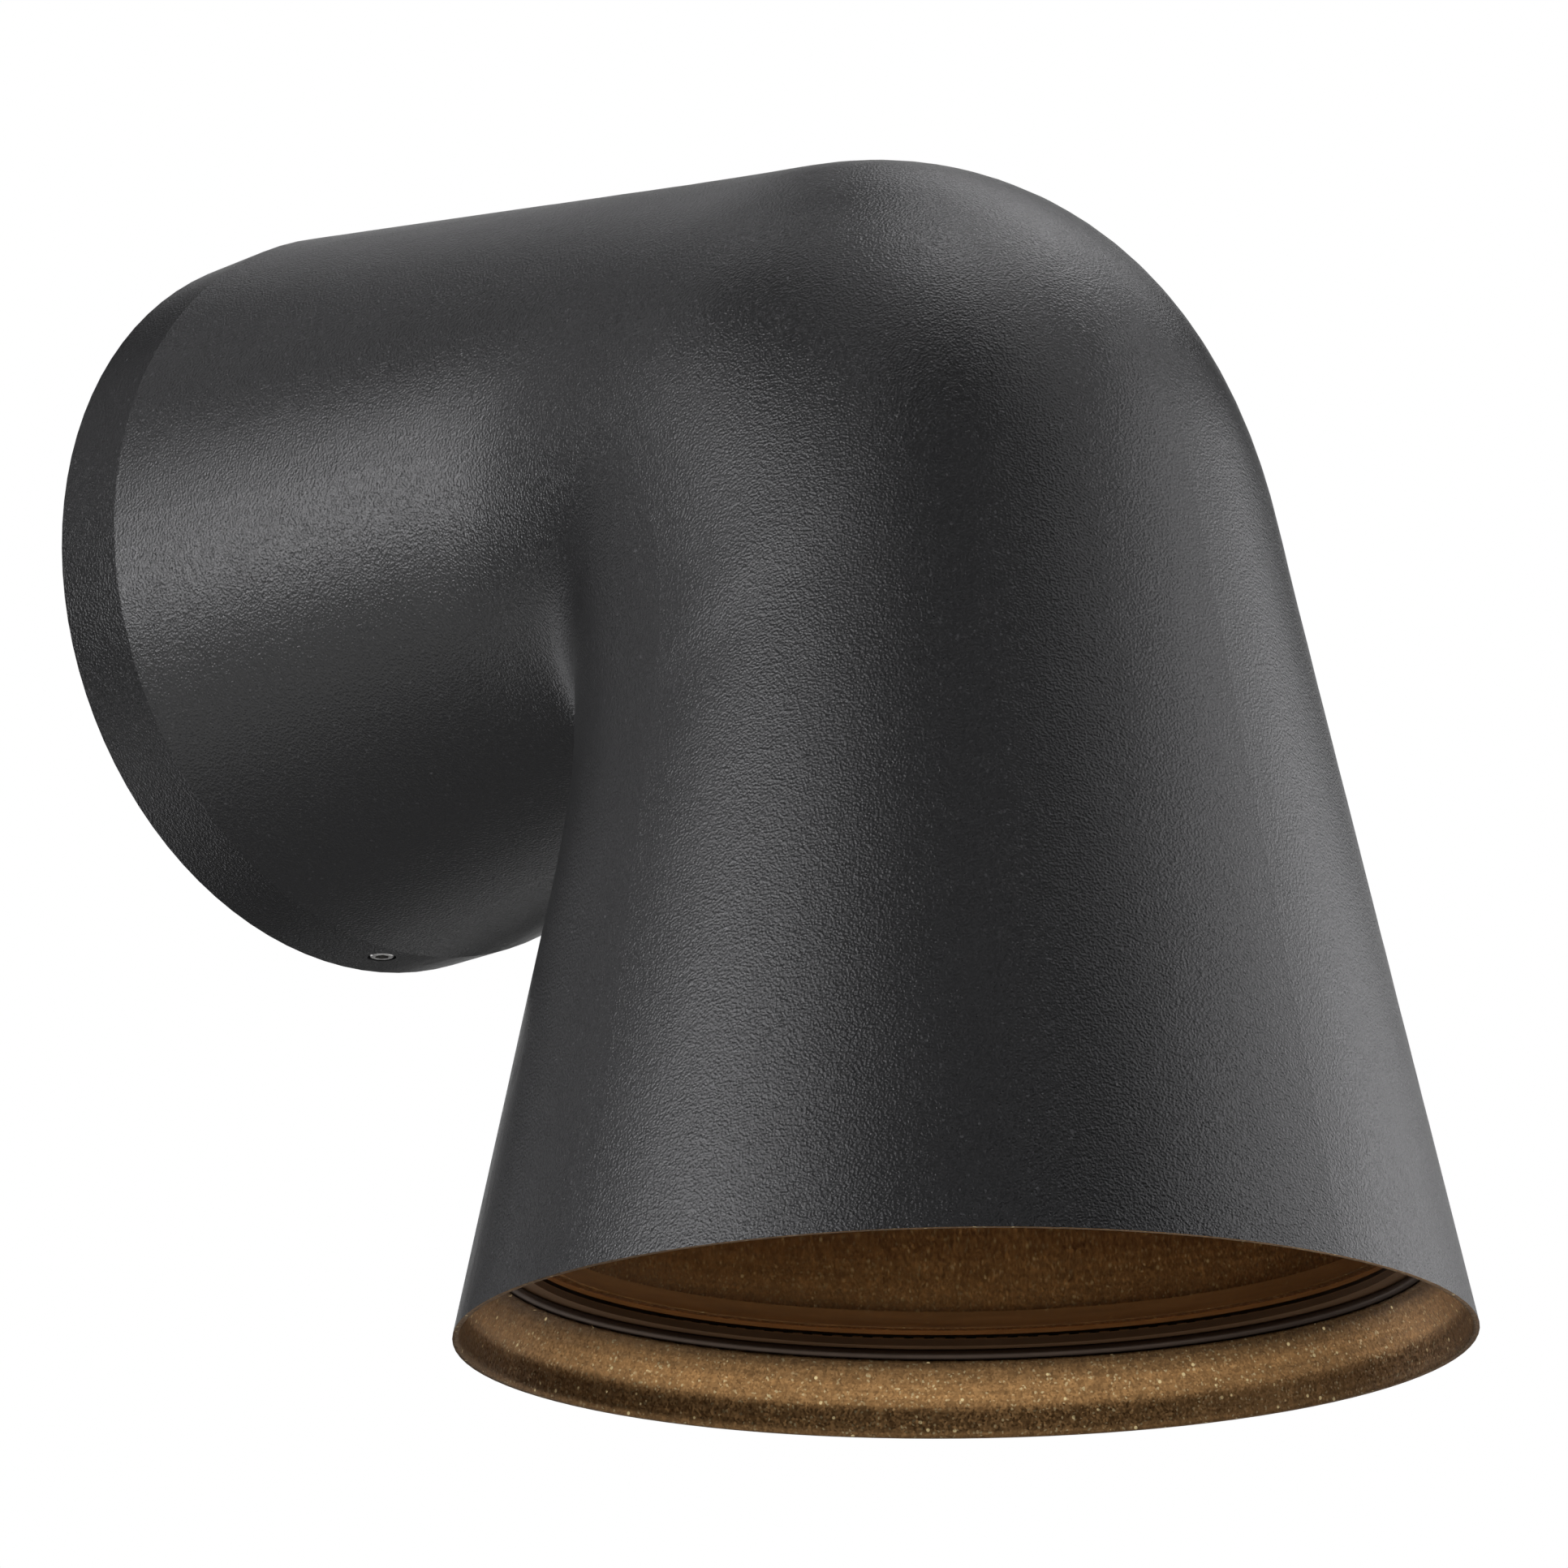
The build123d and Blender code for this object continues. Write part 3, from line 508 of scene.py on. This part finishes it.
def soft_box(name, azimuth, elevation, power, size):
    """Square soft box round the lamp: azimuth 0 is the room side, 90 is +X, 270 is -X."""
    az = math.radians(azimuth)
    el = math.radians(elevation)
    way = Vector((math.sin(az) * math.cos(el), -math.cos(az) * math.cos(el), math.sin(el)))
    data = bpy.data.lights.new(name, "AREA")
    data.shape = "SQUARE"
    data.size = size
    data.energy = power
    data.color = LIGHT_COLOUR
    lamp = bpy.data.objects.new(name, data)
    lamp.visible_camera = False
    bpy.context.collection.objects.link(lamp)
    lamp.location = AIM + way * LIGHT_AWAY
    lamp.rotation_euler = way.to_track_quat("Z", "Y").to_euler()


def add_lights():
    for row in SOFT_BOXES:
        soft_box(*row, BOX_SIZE)
    for row in CARDS:
        soft_box(*row, CARD_SIZE)


def bounced_rays(tree, path):
    """1 for rays that gloss or glass sends on."""
    return joined(tree, "ADD", path.outputs["Is Glossy Ray"], path.outputs["Is Transmission Ray"])


def add_world():
    """White to the camera all round; gloss and glass see it where the backdrop stands, behind the lamp."""
    world = bpy.data.worlds.new("white_studio")
    bpy.context.scene.world = world
    world.use_nodes = True
    tree = world.node_tree
    back = tree.nodes["Background"]
    back.inputs["Color"].default_value = WORLD_GREY
    back.inputs["Strength"].default_value = 1.0
    white = add(tree, "ShaderNodeBackground")
    white.inputs["Color"].default_value = WHITE
    way = add(tree, "ShaderNodeTexCoord").outputs["Generated"]
    facing = add(tree, "ShaderNodeVectorMath", operation="DOT_PRODUCT")
    facing.inputs[1].default_value = BACKDROP_WAY
    tree.links.new(way, facing.inputs[0])
    cone = add(tree, "ShaderNodeMapRange", interpolation_type="SMOOTHSTEP")
    cone.inputs["From Min"].default_value = math.cos(math.radians(BACKDROP_OUT))
    cone.inputs["From Max"].default_value = math.cos(math.radians(BACKDROP_IN))
    tree.links.new(facing.outputs["Value"], cone.inputs["Value"])
    level = level_of(tree, way, 0.0, BACKDROP_RISE)
    path = add(tree, "ShaderNodeLightPath")
    shown = joined(tree, "MULTIPLY", cone.outputs["Result"], level)
    shown = joined(tree, "MULTIPLY", shown, bounced_rays(tree, path))
    shown = joined(tree, "MAXIMUM", path.outputs["Is Camera Ray"], shown)
    surface = mixed(tree, shown, back, white)
    tree.links.new(surface.outputs[0], tree.nodes["World Output"].inputs["Surface"])


def add_floor():
    """Pale floor, near white to the camera; gloss and glass see it white, but not the unlit part by the wall."""
    bpy.ops.mesh.primitive_plane_add(size=FLOOR_SIZE, location=FLOOR_AT)
    floor = bpy.context.object
    floor.name = "studio_floor"
    mat, tree, bsdf = new_material("pale_floor")
    coords = object_coords(tree)
    drift = noise(tree, coords, 3.0, 3.0)
    tree.links.new(grey_ramp(tree, drift.outputs["Fac"], [(0.3, 0.74), (0.7, 0.78)]), bsdf.inputs["Base Color"])
    bsdf.inputs["Roughness"].default_value = 0.8
    away = add(tree, "ShaderNodeVectorMath", operation="DISTANCE")
    away.inputs[1].default_value = DARK_SPOT
    tree.links.new(coords, away.inputs[0])
    lit = scaled(tree, away.outputs["Value"], 0.0, 1.0, DARK_SPOT_IN, DARK_SPOT_OUT)
    path = add(tree, "ShaderNodeLightPath")
    white = add(tree, "ShaderNodeEmission")
    shown = joined(tree, "MULTIPLY", bounced_rays(tree, path), lit)
    seen = scaled(tree, path.outputs["Is Camera Ray"], 0.0, FLOOR_SEEN)
    surface = mixed(tree, joined(tree, "ADD", shown, seen), bsdf, white)
    tree.links.new(surface.outputs[0], tree.nodes["Material Output"].inputs["Surface"])
    floor.data.materials.append(mat)


COAT = powder_coat("black_powder_coat", 0.6)
# Painted shade: a less glossy copy of the coat, so the band by the wall reads darker.
BAND_SHADE_COAT = powder_coat("black_band_coat_painted_shade", 0.42)
BRONZE = bronze_paint()
ZINC = metal("zinc_plate", (0.62, 0.63, 0.65), 0.38, (900.0, 60.0, 900.0))
STEEL = metal("bright_screw_steel", (0.70, 0.69, 0.67), 0.30, (700.0, 700.0, 700.0))
BRASS = metal("plain_brass", (0.72, 0.52, 0.22), 0.32, (60.0, 60.0, 1200.0))
NICKEL = metal("nickel_cap", (0.72, 0.71, 0.69), 0.28, (60.0, 60.0, 900.0))
SPRING = metal("black_spring_wire", (0.090, 0.060, 0.042), 0.46, (300.0, 300.0, 900.0), 0.6)
RUBBER = polymer("black_rubber", (0.016, 0.015, 0.015), 0.62, 1500.0)
WHITE_PA = polymer("white_polyamide", (0.72, 0.71, 0.68), 0.5, 1100.0)
BLACK_PF = polymer("black_phenolic", (0.022, 0.021, 0.020), 0.38, 1000.0)
GLAZE = polymer("porcelain_glaze", (0.78, 0.76, 0.71), 0.22, 260.0)
BULB_BODY = polymer("bulb_white_body", (0.76, 0.76, 0.75), 0.42, 1300.0)
OPAL = polymer("opal_diffuser", (0.80, 0.79, 0.76), 0.34, 500.0)
BROWN = polymer("brown_sheath", (0.16, 0.07, 0.03), 0.42, 900.0)
BLUE = polymer("blue_sheath", (0.04, 0.12, 0.36), 0.42, 900.0)

paint_body(NODES["lamp_body"], (COAT, BRONZE, painted_light_bronze_lip(), BAND_SHADE_COAT))
dress(["wall_plate", "holder_bracket", "nipple_nut", "bracket_screws", "clamp_screws"], ZINC)
dress(["terminal_screws", "block_screws", "earth_screw", "earth_lug"], ZINC)
dress(["set_screw"], STEEL)
dress(["wall_gasket", "cable_grommet"], RUBBER)
dress(["lens_seal"], seal_rubber())
dress(["lens_ring"], SPRING)
dress(["lens_glass"], clear_glass())
dress(["holder_nipple", "holder_sleeve", "holder_contact", "terminal_sleeves"], BRASS)
dress(["cable_clamp", "terminal_block"], WHITE_PA)
dress(["holder_cap", "holder_shell", "bulb_insulator"], BLACK_PF)
dress(["holder_core"], GLAZE)
dress(["bulb_cap", "bulb_contact"], NICKEL)
dress(["bulb_collar"], BULB_BODY)
dress(["bulb_globe"], OPAL)
dress(["live_lead"], BROWN)
dress(["neutral_lead"], BLUE)
dress(["earth_lead"], earth_sheath())

add_camera()
add_lights()
add_world()
add_floor()
bpy.context.scene.view_settings.view_transform = "Standard"
